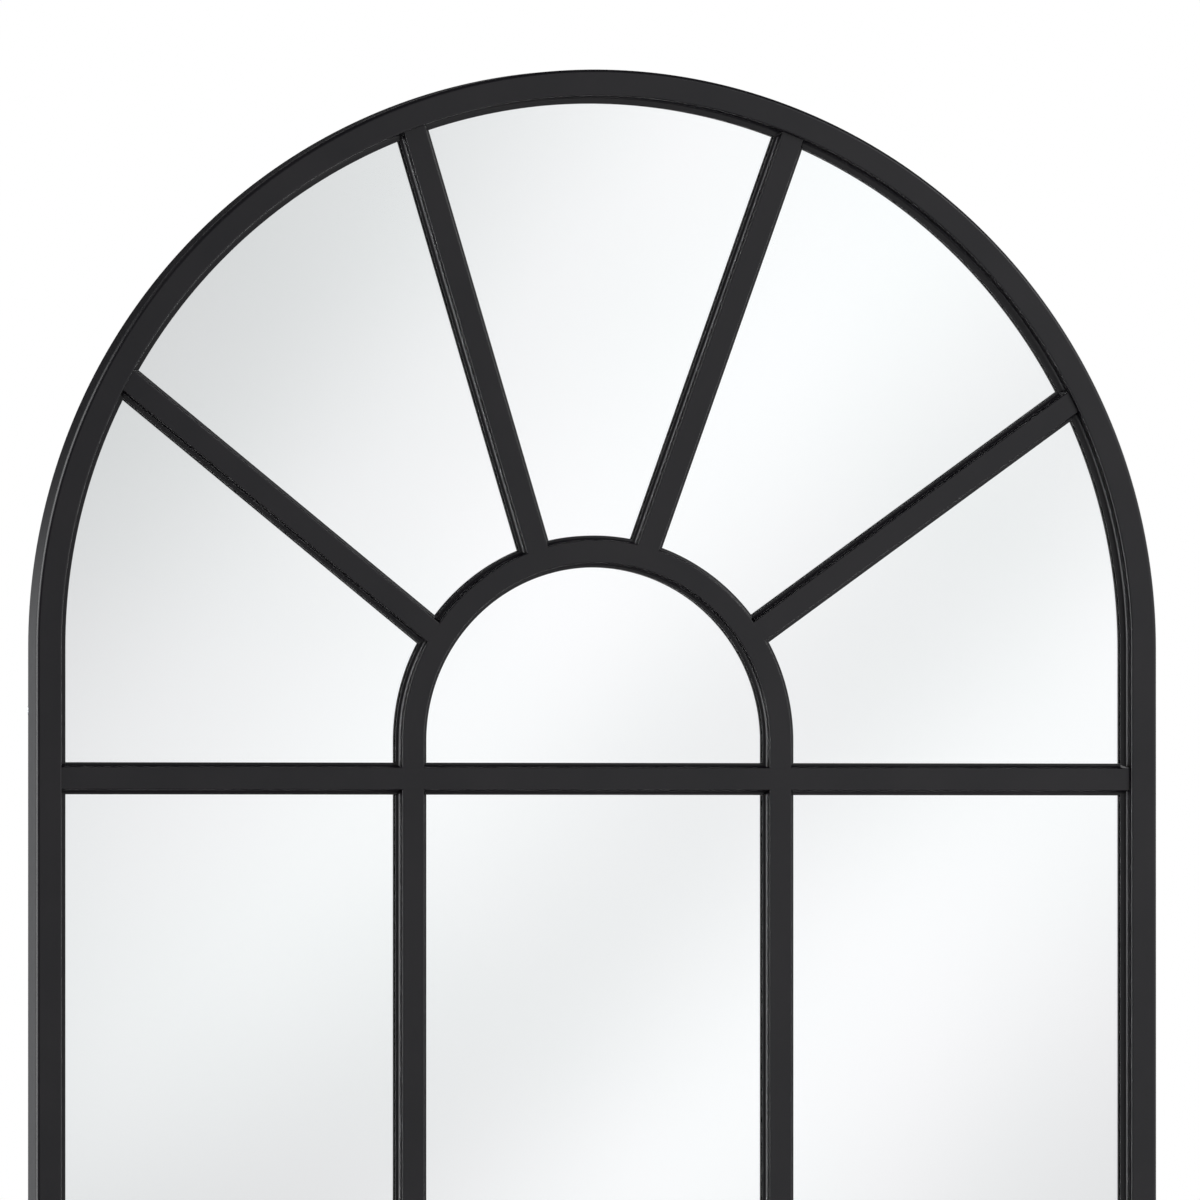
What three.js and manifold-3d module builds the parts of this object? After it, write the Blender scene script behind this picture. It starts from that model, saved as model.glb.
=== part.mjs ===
// Arched window mirror: a welded steel frame with a fan of glazing bars over three columns of panes,
// one sheet of mirror behind the bars, a backing board held by clips, and two ring hangers.
// Millimetres, +Z up. The front faces -Y and the origin is under the middle of the object.
import * as THREE from "three";
import { mergeVertices } from "three/addons/utils/BufferGeometryUtils.js";
import Module from "manifold-3d";

const wasm = await Module();
wasm.setup();

// ---- Driving dimensions -------------------------------------------------------------------------

// Whole mirror
const overallWidth = 900;
const overallHeight = 1800; // floor to the top of the arch
const frameDepth = 30; // front to rear face of the outer tube
const seatGap = 0.3; // clearance between two pieces that rest on each other

// Outer tube, with a lip inside that the mirror lies behind
const tubeFace = 20.5;
const tubeWall = 1.5;
const tubeLip = 5.8;
const lipPlane = 14; // front face of the tube down to the back of all lips

// Glazing bars: a top-hat section, open towards the mirror
const barFace = 17.5;
const barLip = 3.7;
const barSetback = 4.5; // front face of the tube down to the front face of the bars
const sheet = 1.6; // thickness of the bars' sheet and of all lips
const cornerRadius = 1.5;
const footRadius = 2.2; // hollow bend between a side wall and its lip
const lipEdgeRadius = 0.5;

// Layout of the bars
const transomDrop = 102; // springline of the arch down to the middle of the transom
const columnPitch = 295; // between the middles of the two muntins
const smallArchLift = 29.5; // middle of the transom up to the centre of the small arch
const paneRows = 3;

// Each ray's foot is an angle on the small arch and its head an angle on the outer arch, in degrees
// from straight up about that arch's own centre
const rays = [
  { name: "ray_outer_left", foot: -57.7, head: -60.9 },
  { name: "ray_inner_left", foot: -17.9, head: -19.9 },
  { name: "ray_inner_right", foot: 15, head: 21.5 },
  { name: "ray_outer_right", foot: 56.9, head: 63.1 },
];

// Mirror and backing board
const mirrorThickness = 4;
const mirrorEdgeGap = 1.5;
const boardThickness = 6;
const boardEdgeGap = 1;

// Clips that hold the board
const clipSheet = 1.5;
const clipWidth = 14;
const clipFootInset = 3.5; // outer edge of the tube to the end of the clip's foot
const clipWebGap = 0.8; // inner wall of the tube to the clip's upright
const clipTip = 14; // length of the end that presses the board
const clipBend = 2;
const stileClips = 3;
const railClips = 2;
const archClipAngles = [-60, -22, 22, 60]; // degrees from straight up

// Pan-head screws
const screwRadius = 1.6;
const screwLength = 9;
const screwHeadRadius = 3.5;
const screwHeadEdge = 1;
const screwHeadHeight = 2.2;
const screwHoleGap = 0.3;

// Ring hangers
const wireRadius = 1.25;
const ringInnerWidth = 14;
const ringCorner = 2.5;
const ringSide = 2.5; // straight run between the corner and the round end
const strapSheet = 1;
const strapWidth = 10;
const strapLength = 46; // loop axis down to the round end of the strap
const strapHoles = [24, 38]; // loop axis down to each screw
const strapWrap = 255; // degrees that the loop wraps round the wire
const hangerDrop = 45; // springline of the arch down to the loop axis
const wireEndGap = 0.3;

// Rubber bumpers on the back and pads under the bottom rail
const bumperRadius = 7;
const bumperThickness = 6;
const bumperEdge = 1.5;
const bumperHeight = 90; // floor up to each lower bumper
const archBumperAngle = 40; // degrees from straight up to each upper bumper
const footPadThickness = 3;
const footPadLength = 70;
const footPadWidth = 18;
const footPadInset = 60; // side of the frame to the near end of the pad

// Facets along the round parts
const archFacets = 48;
const smallArchFacets = 28;
const cornerFacets = 2;
const edgeFacets = 1;
const wireSides = 8;
const ringCornerFacets = 2;
const ringEndFacets = 8;
const loopFacets = 6;
const screwSides = 12;
const bumperSides = 20;

// ---- Derived places -----------------------------------------------------------------------------

const faceY = -(frameDepth + bumperThickness + seatGap) / 2;
const rearY = faceY + frameDepth;
const archRadius = overallWidth / 2;
const springHeight = overallHeight - archRadius;
const archCentre = new THREE.Vector2(0, springHeight);
const railBottom = footPadThickness + seatGap;
const hangerHeight = springHeight - hangerDrop;
const transomHeight = springHeight - transomDrop;
const smallArchRadius = columnPitch / 2; // to the middle of the bar
const smallArchCentre = new THREE.Vector2(0, transomHeight + smallArchLift);
const lipFront = lipPlane - sheet;
const mirrorFront = lipPlane + seatGap;
const boardFront = mirrorFront + mirrorThickness + seatGap;
const boardRear = boardFront + boardThickness;
const screwHoleRadius = screwRadius + screwHoleGap;
const tubeMiddle = tubeFace / 2;
const innerHalfWidth = archRadius - tubeFace;

// ---- Outlines -----------------------------------------------------------------------------------

// Points along an arc, with its angles in degrees.
function arc(x, y, radius, from, to, facets = cornerFacets) {
  return Array.from({ length: facets + 1 }, (_, i) => {
    const angle = THREE.MathUtils.degToRad(from + ((to - from) * i) / facets);
    return new THREE.Vector2(x + radius * Math.cos(angle), y + radius * Math.sin(angle));
  });
}

const at = (x, y) => new THREE.Vector2(x, y);

// The visible side of a lip, from the side wall at `wall` out to the lip's edge.
function lipOutline(wall, reach, grow) {
  const front = lipFront - grow;
  const bend = footRadius - grow;
  const edge = wall + reach;
  return [
    ...arc(wall + bend, front - bend, bend, 180, 90),
    ...arc(edge - lipEdgeRadius, front + lipEdgeRadius, lipEdgeRadius, 270, 360, edgeFacets),
    at(edge, lipPlane + grow),
  ];
}

// Outer tube: x runs from the outside of the frame inwards, y from the front face to the back.
// `grow` pushes every face out, for the space that a neighbour leaves free.
function tubeOutline(grow) {
  const radius = cornerRadius + grow;
  const near = cornerRadius;
  const far = tubeFace - cornerRadius;
  const rear = frameDepth - cornerRadius;
  return [
    ...arc(near, near, radius, 180, 270),
    ...arc(far, near, radius, 270, 360),
    ...lipOutline(tubeFace + grow, tubeLip, grow),
    at(tubeFace + grow, lipPlane + grow),
    ...arc(far, rear, radius, 0, 90, edgeFacets),
    ...arc(near, rear, radius, 90, 180, edgeFacets),
  ];
}

function tubeSection() {
  const section = new THREE.Shape(tubeOutline(0));
  const inside = tubeFace - tubeWall;
  const back = frameDepth - tubeWall;
  section.holes.push(
    new THREE.Path([at(tubeWall, tubeWall), at(inside, tubeWall), at(inside, back), at(tubeWall, back)]),
  );
  return section;
}

// Glazing bar: x runs across the bar from its middle, y from the tube's front face to the back.
function barOutline(grow) {
  const half = barFace / 2;
  const radius = cornerRadius + grow;
  const corner = half - cornerRadius;
  const right = [
    ...arc(corner, barSetback + cornerRadius, radius, 270, 360),
    ...lipOutline(half + grow, barLip, grow),
  ];
  const left = right.map((point) => at(-point.x, point.y)).reverse();
  return { left, right };
}

function barSection() {
  const { left, right } = barOutline(0);
  const inside = barFace / 2 - sheet;
  const roof = barSetback + sheet;
  const hollow = [at(inside, lipPlane), at(inside, roof), at(-inside, roof), at(-inside, lipPlane)];
  return new THREE.Shape([...right, ...hollow, ...left]);
}

function barEnvelope() {
  const { left, right } = barOutline(seatGap);
  return new THREE.Shape([...right, ...left]);
}

// ---- Sweeps -------------------------------------------------------------------------------------

// A station is a point on a piece's path in the plane of the mirror, and the direction in which
// the section's x runs there. The section's y always runs to the back.
function straight(from, to) {
  const along = to.clone().sub(from).normalize();
  const across = at(along.y, -along.x);
  return [from, to].map((point) => ({ point, across }));
}

function round(centre, radius, from, to, facets) {
  const turn = Math.sign(to - from);
  return arc(0, 0, 1, from, to, facets).map((outward) => ({
    point: centre.clone().addScaledVector(outward, radius),
    across: outward.clone().multiplyScalar(turn),
  }));
}

function sweep(section, stations) {
  const steps = stations.length - 1;
  const geometry = new THREE.ExtrudeGeometry(section, { depth: steps, steps, bevelEnabled: false });
  const position = geometry.getAttribute("position");
  for (let i = 0; i < position.count; i += 1) {
    const { point, across } = stations[Math.round(position.getZ(i))];
    const reach = position.getX(i);
    position.setXYZ(
      i,
      point.x + reach * across.x,
      faceY + position.getY(i),
      point.y + reach * across.y,
    );
  }
  geometry.computeVertexNormals();
  return geometry;
}

// ---- Booleans -----------------------------------------------------------------------------------

function toSolid(geometry) {
  const bare = geometry.clone();
  bare.deleteAttribute("normal");
  bare.deleteAttribute("uv");
  const merged = mergeVertices(bare);
  return new wasm.Manifold(
    new wasm.Mesh({
      numProp: 3,
      vertProperties: merged.getAttribute("position").array,
      triVerts: new Uint32Array(merged.index.array),
    }),
  );
}

function toGeometry(solid) {
  const mesh = solid.getMesh();
  const geometry = new THREE.BufferGeometry();
  geometry.setAttribute("position", new THREE.BufferAttribute(mesh.vertProperties, mesh.numProp));
  geometry.setIndex(new THREE.BufferAttribute(mesh.triVerts, 1));
  const flat = geometry.toNonIndexed();
  flat.computeVertexNormals();
  return flat;
}

function cut(geometry, ...tools) {
  return toGeometry(tools.reduce((solid, tool) => solid.subtract(tool), toSolid(geometry)));
}

function join(...geometries) {
  return toGeometry(geometries.map(toSolid).reduce((whole, piece) => whole.add(piece)));
}

// A round bore along Y, through what lies within `reach` of the given point.
function bore(x, y, z, radius, reach) {
  return toSolid(new THREE.CylinderGeometry(radius, radius, 2 * reach, screwSides).translate(x, y, z));
}

// ---- Materials ----------------------------------------------------------------------------------

function finish(colour, roughness, metalness) {
  return () => new THREE.MeshStandardMaterial({ color: colour, roughness, metalness });
}

const blackPaint = finish(0x303033, 0.5, 0.3);
const silvered = finish(0xe9ecec, 0.03, 1);
const blackBoard = finish(0x2a2826, 0.85, 0);
const blackSteel = finish(0x3a3a3c, 0.4, 0.6);
const zincSteel = finish(0xb4b7b9, 0.35, 0.9);
const blackRubber = finish(0x1c1c1c, 0.9, 0);

// ---- Assembly -----------------------------------------------------------------------------------

const mirror = new THREE.Group();

function add(name, geometry, material, parent = mirror) {
  const mesh = new THREE.Mesh(geometry, material());
  mesh.name = name;
  parent.add(mesh);
  return mesh;
}

// A group on the outer tube whose x runs inwards, y to the back and z along the tube.
function onTube({ point, across }) {
  const seat = new THREE.Group();
  seat.position.set(point.x, faceY, point.y);
  seat.rotation.y = Math.atan2(-across.y, across.x);
  mirror.add(seat);
  return seat;
}

const leftStileAt = (height) => ({ point: at(-archRadius, height), across: at(1, 0) });
const rightStileAt = (height) => ({ point: at(archRadius, height), across: at(-1, 0) });
const railAt = (x) => ({ point: at(x, railBottom), across: at(0, 1) });

function archAt(angle) {
  const outward = at(
    Math.sin(THREE.MathUtils.degToRad(angle)),
    Math.cos(THREE.MathUtils.degToRad(angle)),
  );
  return {
    point: archCentre.clone().addScaledVector(outward, archRadius),
    across: outward.clone().negate(),
  };
}

// Paths of the outer tubes. Their lower corners are mitred, so `across` leans along the path there.
const mitreGap = seatGap * Math.SQRT2;
const leftStilePath = [
  { point: at(-archRadius, railBottom + mitreGap), across: at(1, 1) },
  { point: at(-archRadius, springHeight - seatGap), across: at(1, 0) },
];
const archPath = round(archCentre, archRadius, 180, 0, archFacets);
const rightStilePath = [
  { point: at(archRadius, springHeight - seatGap), across: at(-1, 0) },
  { point: at(archRadius, railBottom + mitreGap), across: at(-1, 1) },
];
const hoopPath = [...leftStilePath, ...archPath, ...rightStilePath];
const railPath = [
  { point: at(archRadius, railBottom), across: at(-1, 1) },
  { point: at(-archRadius, railBottom), across: at(1, 1) },
];

const smallArchPath = [
  { point: at(-smallArchRadius, transomHeight), across: at(1, 0) },
  ...round(smallArchCentre, smallArchRadius, 180, 0, smallArchFacets),
  { point: at(smallArchRadius, transomHeight), across: at(-1, 0) },
];

// Heights of the bars that run from stile to stile. The panes below the transom are equally high.
const openBottom = railBottom + tubeFace;
const paneHeight = (transomHeight + barFace / 2 - openBottom) / paneRows - barFace;
const crossbarHeights = Array.from(
  { length: paneRows },
  (_, row) => transomHeight - row * (paneHeight + barFace),
);

function crossPath(height) {
  return straight(at(-archRadius + tubeMiddle, height), at(archRadius - tubeMiddle, height));
}

function rayPath({ foot, head }) {
  const pointAt = (centre, radius, angle) => {
    const turn = THREE.MathUtils.degToRad(angle);
    return at(centre.x + radius * Math.sin(turn), centre.y + radius * Math.cos(turn));
  };
  return straight(
    pointAt(smallArchCentre, smallArchRadius, foot),
    pointAt(archCentre, archRadius - tubeMiddle, head),
  );
}

// Screws of the clips and hangers, as places on the tube
const evenly = (count, from, to) =>
  Array.from({ length: count }, (_, i) => from + ((to - from) * (i + 0.5)) / count);
const clipHeights = evenly(stileClips, railBottom, hangerHeight);
const clipPlaces = [
  ...clipHeights.map((height, i) => ({ name: `left_${i + 1}`, seat: leftStileAt(height) })),
  ...clipHeights.map((height, i) => ({ name: `right_${i + 1}`, seat: rightStileAt(height) })),
  ...archClipAngles.map((angle, i) => ({ name: `arch_${i + 1}`, seat: archAt(angle) })),
  ...evenly(railClips, -archRadius, archRadius).map((x, i) => ({
    name: `rail_${i + 1}`,
    seat: railAt(x),
  })),
];
const hangerSides = [
  { name: "left", seatAt: leftStileAt },
  { name: "right", seatAt: rightStileAt },
];

function screwHoleIn({ point, across }) {
  const middle = point.clone().addScaledVector(across, tubeMiddle);
  return bore(middle.x, rearY, middle.y, screwHoleRadius, 2 * tubeWall);
}

function clipHoles(tube) {
  return clipPlaces.filter(({ name }) => name.startsWith(tube)).map(({ seat }) => screwHoleIn(seat));
}

function hangerHoles(seatAt) {
  return strapHoles.map((drop) => screwHoleIn(seatAt(hangerHeight - drop)));
}

// Space that a bar's coped end leaves round the piece it is welded to
const hoopSpace = toSolid(sweep(new THREE.Shape(tubeOutline(seatGap)), hoopPath));
const railSpace = toSolid(sweep(new THREE.Shape(tubeOutline(seatGap)), railPath));
const smallArchSpace = toSolid(sweep(barEnvelope(), smallArchPath));
const crossbarSpaces = crossbarHeights.map((height) => toSolid(sweep(barEnvelope(), crossPath(height))));

function addTube(name, path, holes) {
  add(name, cut(sweep(tubeSection(), path), ...holes), blackPaint);
}

function addFrame() {
  addTube("left_stile", leftStilePath, [...clipHoles("left"), ...hangerHoles(leftStileAt)]);
  addTube("arch_tube", archPath, clipHoles("arch"));
  addTube("right_stile", rightStilePath, [...clipHoles("right"), ...hangerHoles(rightStileAt)]);
  addTube("bottom_rail", railPath, clipHoles("rail"));
}

function addCrossbars() {
  crossbarHeights.forEach((height, row) => {
    const name = row === 0 ? "transom_bar" : `crossbar_${row}`;
    add(name, cut(sweep(barSection(), crossPath(height)), hoopSpace), blackPaint);
  });
}

function addMuntins() {
  const ends = [...crossbarHeights, railBottom + tubeMiddle];
  const spaces = [...crossbarSpaces, railSpace];
  [-smallArchRadius, smallArchRadius].forEach((x) => {
    const side = x < 0 ? "left" : "right";
    for (let row = 0; row < paneRows; row += 1) {
      const bar = sweep(barSection(), straight(at(x, ends[row + 1]), at(x, ends[row])));
      add(`muntin_${side}_${row + 1}`, cut(bar, spaces[row], spaces[row + 1]), blackPaint);
    }
  });
}

function addFan() {
  add("small_arch", cut(sweep(barSection(), smallArchPath), crossbarSpaces[0]), blackPaint);
  rays.forEach((ray) => {
    add(ray.name, cut(sweep(barSection(), rayPath(ray)), smallArchSpace, hoopSpace), blackPaint);
  });
}

// A flat sheet that fills the frame, `gap` away from the tube and resting on the bottom rail.
function archedSheet(gap, front, thickness) {
  const half = innerHalfWidth - gap;
  const bottom = openBottom + seatGap;
  const outline = new THREE.Shape([
    at(-half, bottom),
    at(half, bottom),
    ...arc(0, springHeight, half, 0, 180, archFacets),
  ]);
  const geometry = new THREE.ExtrudeGeometry(outline, { depth: thickness, bevelEnabled: false });
  return geometry.rotateX(Math.PI / 2).translate(0, faceY + front + thickness, 0);
}

function addMirrorAndBoard() {
  add("mirror_glass", archedSheet(mirrorEdgeGap, mirrorFront, mirrorThickness), silvered);
  add("backing_board", archedSheet(boardEdgeGap, boardFront, boardThickness), blackBoard);
}

// A clip bent to a Z: its foot lies on the back of the tube and its tip on the backing board.
function clipGeometry() {
  const footFront = frameDepth + seatGap;
  const footRear = footFront + clipSheet;
  const tipFront = boardRear + seatGap;
  const tipRear = tipFront + clipSheet;
  const webOuter = tubeFace + clipWebGap;
  const webInner = webOuter + clipSheet;
  const tipEnd = webOuter + clipTip;
  const outline = new THREE.Shape([
    at(clipFootInset, footFront),
    at(webOuter, footFront),
    ...arc(webOuter + clipBend, tipFront + clipBend, clipBend, 180, 270),
    at(tipEnd, tipFront),
    at(tipEnd, tipRear),
    at(webInner, tipRear),
    ...arc(webInner - clipBend, footRear - clipBend, clipBend, 0, 90),
    at(clipFootInset, footRear),
  ]);
  const bent = new THREE.ExtrudeGeometry(outline, { depth: clipWidth, bevelEnabled: false });
  bent.translate(0, 0, -clipWidth / 2);
  return cut(bent, bore(tubeMiddle, footFront, 0, screwHoleRadius, 2 * clipSheet));
}

// A pan-head screw along Y, with the underside of its head at y = 0 and its shank towards -Y.
function screwGeometry() {
  const dome = screwHeadHeight - screwHeadEdge;
  return new THREE.LatheGeometry(
    [
      at(0, -screwLength),
      at(screwRadius, -screwLength + screwRadius),
      at(screwRadius, 0),
      at(screwHeadRadius, 0),
      at(screwHeadRadius, screwHeadEdge),
      at(screwHeadRadius * Math.cos(Math.PI / 4), screwHeadEdge + dome * Math.sin(Math.PI / 4)),
      at(0, screwHeadHeight),
    ],
    screwSides,
  );
}

function addClips() {
  const clip = clipGeometry();
  const screw = screwGeometry();
  clipPlaces.forEach(({ name, seat }) => {
    const place = onTube(seat);
    add(`clip_${name}`, clip, zincSteel, place);
    const head = frameDepth + seatGap + clipSheet + seatGap;
    add(`clip_screw_${name}`, screw, zincSteel, place).position.set(tubeMiddle, head, 0);
  });
}

// Hanger strap: a flat plate on the back of the stile that curls over the ring's straight side.
// Its x runs across the strap, y to the back and z up, from the middle of the loop.
function strapGeometry() {
  const inner = wireRadius + seatGap;
  const outer = inner + strapSheet;
  const half = strapWidth / 2;
  const wrapEnd = 180 - strapWrap;
  const loop = new THREE.ExtrudeGeometry(
    new THREE.Shape([
      at(-inner, -half),
      ...arc(0, 0, inner, 180, wrapEnd, loopFacets),
      ...arc(0, 0, outer, wrapEnd, 180, loopFacets),
      at(-outer, -half),
    ]),
    { depth: strapWidth, bevelEnabled: false },
  );
  loop.translate(0, 0, -half);
  loop.applyMatrix4(
    new THREE.Matrix4().makeBasis(
      new THREE.Vector3(0, 1, 0),
      new THREE.Vector3(0, 0, 1),
      new THREE.Vector3(1, 0, 0),
    ),
  );
  const plate = new THREE.ExtrudeGeometry(
    new THREE.Shape([at(half, 0), at(-half, 0), ...arc(0, half - strapLength, half, 180, 360, loopFacets)]),
    { depth: strapSheet, bevelEnabled: false },
  );
  plate.rotateX(Math.PI / 2).translate(0, -inner, 0);
  const holes = strapHoles.map((drop) => bore(0, -outer, -drop, screwHoleRadius, 2 * strapSheet));
  return cut(join(loop, plate), ...holes);
}

// D-ring of round wire, hanging from its straight side. The wire's ends meet inside the loop.
function ringGeometry(seat) {
  const half = ringInnerWidth / 2 + wireRadius;
  const axisDepth = frameDepth + seatGap + strapSheet + seatGap + wireRadius;
  const wire = new THREE.Shape(arc(0, axisDepth, wireRadius, 0, 360 - 360 / wireSides, wireSides - 1));
  const middle = seat.point.clone().addScaledVector(seat.across, tubeMiddle);
  const by = (x, z) => at(middle.x + x, middle.y + z);
  const corner = half - ringCorner;
  return sweep(wire, [
    ...straight(by(wireEndGap / 2, 0), by(corner, 0)).slice(0, 1),
    ...round(by(corner, -ringCorner), ringCorner, 90, 0, ringCornerFacets),
    ...round(by(0, -ringCorner - ringSide), half, 0, -180, ringEndFacets),
    ...round(by(-corner, -ringCorner), ringCorner, 180, 90, ringCornerFacets),
    ...straight(by(-corner, 0), by(-wireEndGap / 2, 0)).slice(1),
  ]);
}

function addHangers() {
  const strap = strapGeometry();
  const screw = screwGeometry();
  const axisDepth = frameDepth + seatGap + strapSheet + seatGap + wireRadius;
  hangerSides.forEach(({ name, seatAt }) => {
    const seat = seatAt(hangerHeight);
    const x = seat.point.x + seat.across.x * tubeMiddle;
    add(`hanger_strap_${name}`, strap, zincSteel).position.set(x, faceY + axisDepth, hangerHeight);
    add(`hanger_ring_${name}`, ringGeometry(seat), zincSteel);
    const head = rearY + seatGap + strapSheet + seatGap;
    strapHoles.forEach((drop, i) => {
      const fastener = add(`hanger_screw_${name}_${i + 1}`, screw, zincSteel);
      fastener.position.set(x, head, hangerHeight - drop);
    });
  });
}

function bumperGeometry() {
  return new THREE.LatheGeometry(
    [
      at(0, 0),
      at(bumperRadius, 0),
      ...arc(
        bumperRadius - bumperEdge,
        bumperThickness - bumperEdge,
        bumperEdge,
        0,
        90,
        edgeFacets,
      ),
      at(0, bumperThickness),
    ],
    bumperSides,
  );
}

function addBumpersAndPads() {
  const bumper = bumperGeometry();
  const places = {
    lower_left: leftStileAt(bumperHeight),
    lower_right: rightStileAt(bumperHeight),
    upper_left: archAt(-archBumperAngle),
    upper_right: archAt(archBumperAngle),
  };
  Object.entries(places).forEach(([name, seat]) => {
    add(`bumper_${name}`, bumper, blackRubber, onTube(seat)).position.set(
      tubeMiddle,
      frameDepth + seatGap,
      0,
    );
  });
  const pad = new THREE.BoxGeometry(footPadLength, footPadWidth, footPadThickness);
  const reach = archRadius - footPadInset - footPadLength / 2;
  [-reach, reach].forEach((x) => {
    const side = x < 0 ? "left" : "right";
    const under = add(`foot_pad_${side}`, pad, blackRubber);
    under.position.set(x, faceY + frameDepth / 2, footPadThickness / 2);
  });
}

addFrame();
addCrossbars();
addMuntins();
addFan();
addMirrorAndBoard();
addClips();
addHangers();
addBumpersAndPads();

export default mirror;
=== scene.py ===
"""Looks of the arched window mirror: finer bars, frame, sheet, board and hardware over the CAD frame."""

import math

import bmesh
import bpy
from mathutils import Matrix, Vector


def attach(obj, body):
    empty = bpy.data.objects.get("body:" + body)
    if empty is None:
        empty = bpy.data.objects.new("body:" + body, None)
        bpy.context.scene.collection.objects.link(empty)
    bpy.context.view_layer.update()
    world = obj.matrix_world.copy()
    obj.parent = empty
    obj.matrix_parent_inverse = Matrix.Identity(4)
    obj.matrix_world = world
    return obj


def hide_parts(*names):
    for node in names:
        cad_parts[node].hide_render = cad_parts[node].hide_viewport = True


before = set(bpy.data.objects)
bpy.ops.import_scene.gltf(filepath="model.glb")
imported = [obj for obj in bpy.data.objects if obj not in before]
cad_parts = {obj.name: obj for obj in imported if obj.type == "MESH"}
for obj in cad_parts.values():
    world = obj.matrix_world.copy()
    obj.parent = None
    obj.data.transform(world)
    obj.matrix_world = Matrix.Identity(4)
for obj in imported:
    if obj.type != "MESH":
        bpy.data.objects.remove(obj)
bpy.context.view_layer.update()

# ---- Sizes, in millimetres as in the CAD ---------------------------------------------------------

MM = 0.001
WIDTH, HEIGHT, DEPTH = 900.0, 1800.0, 30.0
GAP = 0.3
SEAM = 0.22  # dark joint line left where one bar is welded to another and painted over
TUBE_FACE, TUBE_LIP, LIP_PLANE = 20.5, 5.8, 14.0
BAR_FACE, BAR_LIP, BAR_SETBACK, SHEET = 17.5, 3.7, 4.5, 1.6
OUTER_CORNER, INNER_CORNER, BAR_CORNER, FOOT, LIP_EDGE = 2.8, 1.4, 0.8, 2.7, 0.5
BUMPER_T, PAD_T = 6.0, 3.0
TRANSOM_DROP, PITCH, ARCH_LIFT, ROWS = 102.0, 295.0, 29.5, 3
RAYS = {
    "ray_outer_left": (-57.7, -60.9),
    "ray_inner_left": (-17.9, -19.9),
    "ray_inner_right": (15.0, 21.5),
    "ray_outer_right": (56.9, 63.1),
}
SHEET_EDGE, BOARD_EDGE, GLASS_T, BOARD_T = 1.5, 1.0, 4.0, 6.0
CLIP_T, CLIP_WIDTH, CLIP_INSET, CLIP_WEB, CLIP_TIP, CLIP_BEND = 1.5, 14.0, 3.5, 0.8, 14.0, 2.0
STILE_CLIPS, RAIL_CLIPS, ARCH_CLIPS = 3, 2, (-60, -22, 22, 60)
SCREW_R, SCREW_LENGTH, HEAD_R, HEAD_EDGE, HEAD_T = 1.6, 9.0, 3.5, 1.0, 2.2
THREAD_PITCH, THREAD_DEPTH, POINT_R, POINT_LENGTH, RECESS_DEPTH = 1.0, 0.35, 0.9, 1.2, 1.35
WIRE, RING_WIDTH, RING_CORNER, RING_SIDE, WIRE_GAP = 1.25, 14.0, 2.5, 2.5, 0.3
STRAP_T, STRAP_WIDTH, STRAP_LENGTH, STRAP_HOLES, STRAP_WRAP = 1.0, 10.0, 46.0, (24.0, 38.0), 255.0
HANGER_DROP = 45.0
BUMPER_R, BUMPER_Z, BUMPER_ANGLE, BUMPER_EDGE = 7.0, 90.0, 40.0, 1.5
DISH_R, DISH_DEPTH = 4.2, 0.5
PAD_LENGTH, PAD_WIDTH, PAD_INSET, PAD_CORNER = 70.0, 18.0, 60.0, 3.0

FACE_Y = -(DEPTH + BUMPER_T + GAP) / 2
RADIUS = WIDTH / 2
SPRING = HEIGHT - RADIUS
RAIL_Z = PAD_T + GAP
TRANSOM = SPRING - TRANSOM_DROP
SMALL_R = PITCH / 2
SMALL_Z = TRANSOM + ARCH_LIFT
LIP_FRONT = LIP_PLANE - SHEET
MID = TUBE_FACE / 2
OPEN_Z = RAIL_Z + TUBE_FACE
PANE = (TRANSOM + BAR_FACE / 2 - OPEN_Z) / ROWS - BAR_FACE
LEVELS = [TRANSOM - row * (PANE + BAR_FACE) for row in range(ROWS)]

# ---- Colours and nodes ---------------------------------------------------------------------------


def linear(colour):
    """An sRGB hex colour as linear RGBA."""
    parts = [int(colour[i : i + 2], 16) / 255 for i in (1, 3, 5)]
    return (*[p / 12.92 if p <= 0.04045 else ((p + 0.055) / 1.055) ** 2.4 for p in parts], 1.0)


def add(tree, kind, values=None, **settings):
    """A new node with its settings, and its inputs set or linked by name or number."""
    made = tree.nodes.new(kind)
    for name, value in settings.items():
        setattr(made, name, value)
    for name, value in (values or {}).items():
        socket = made.inputs[name]
        if isinstance(value, bpy.types.NodeSocket):
            tree.links.new(value, socket)
        else:
            socket.default_value = value
    return made


def ramp(tree, factor, stops, interpolation="LINEAR"):
    """A colour ramp over factor; stops are (position, linear RGBA)."""
    made = add(tree, "ShaderNodeValToRGB", {"Fac": factor})
    elements = made.color_ramp.elements
    made.color_ramp.interpolation = interpolation
    while len(elements) > 1:
        elements.remove(elements[-1])
    elements[0].position, elements[0].color = stops[0]
    for position, colour in stops[1:]:
        elements.new(position).color = colour
    return made


def material(name):
    """A new material with its tree, its Principled shader and its Object coordinates."""
    made = bpy.data.materials.new(name)
    made.use_nodes = True
    tree = made.node_tree
    shader = tree.nodes["Principled BSDF"]
    spot = add(tree, "ShaderNodeTexCoord").outputs["Object"]
    return made, tree, shader, spot


def noise(tree, spot, size_mm, detail=2.0, roughness=0.5):
    """Noise whose blobs are about size_mm across."""
    settings = {"Vector": spot, "Scale": 1 / (size_mm * MM), "Detail": detail, "Roughness": roughness}
    return add(tree, "ShaderNodeTexNoise", settings).outputs["Fac"]


def bump(tree, shader, height, strength, distance_mm):
    settings = {"Height": height, "Strength": strength, "Distance": distance_mm * MM}
    tree.links.new(add(tree, "ShaderNodeBump", settings).outputs["Normal"], shader.inputs["Normal"])


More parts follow.
